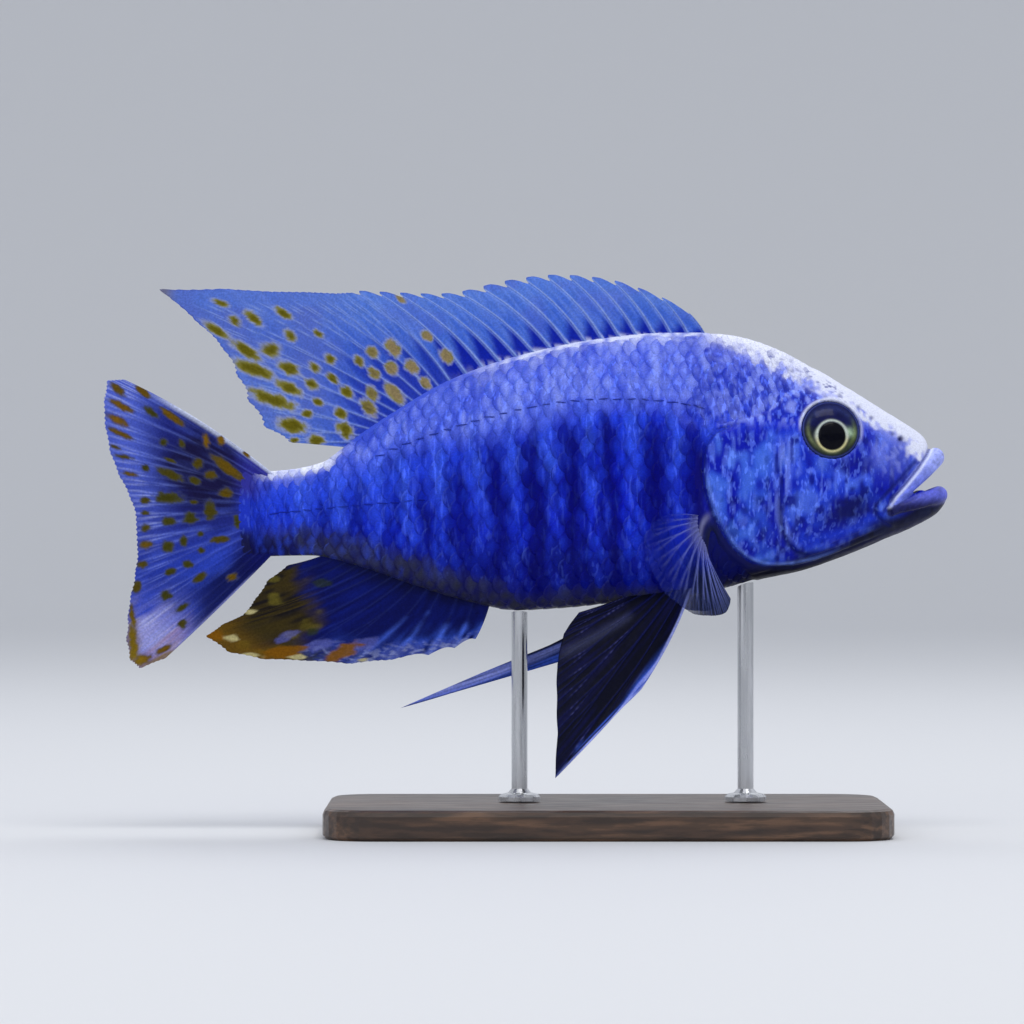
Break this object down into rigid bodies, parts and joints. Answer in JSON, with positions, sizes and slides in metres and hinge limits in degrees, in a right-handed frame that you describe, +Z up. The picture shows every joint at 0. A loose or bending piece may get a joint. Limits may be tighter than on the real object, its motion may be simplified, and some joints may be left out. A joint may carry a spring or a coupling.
{
  "type": "electric blue hap cichlid model",
  "caption": "Life-size electric blue cichlid fish with spread fins, held over a flat base by thin rods.",
  "frame": {"origin": "on the floor under the middle of the model's box, in line with the fish's middle plane", "axes": "+X towards the snout, +Y towards the fish's left side, +Z up"},
  "size_m": [0.1684, 0.066, 0.1116],
  "materials": {
    "skin": "wet scaled skin, electric blue with dark bars",
    "gill_cover": "wet bony plate, light blue flecks",
    "lips": "smooth wet lip skin, pale blue edge",
    "dorsal_fin": "translucent fin membrane, olive spots",
    "tail_fin": "translucent fin membrane, orange streaks",
    "anal_fin": "dark fin membrane with cream egg spots",
    "pelvic_fin": "near black fin membrane, bright leading edge",
    "pectoral_fin": "clear fin membrane with pale rays",
    "eye": "clear wet cornea over a dark iris and pupil",
    "base": "dark wood, satin lacquer",
    "rod": "thin polished steel rod"
  },
  "bodies": {
    "root": {"head": "skin", "torso": "skin", "tail_stalk": "skin", "gill_cover_left": "gill_cover", "gill_cover_right": "gill_cover", "upper_jaw": "lips", "lower_jaw": "lips", "eye_left": "eye", "eye_right": "eye", "dorsal_fin_spiny": "dorsal_fin", "dorsal_fin_soft": "dorsal_fin", "caudal_fin": "tail_fin", "anal_fin": "anal_fin", "pelvic_fin_left": "pelvic_fin", "pelvic_fin_right": "pelvic_fin", "pectoral_fin_left": "pectoral_fin", "pectoral_fin_right": "pectoral_fin", "stand_base": "base", "stand_rod_front": "rod", "stand_rod_rear": "rod"}
  },
  "joints": []
}
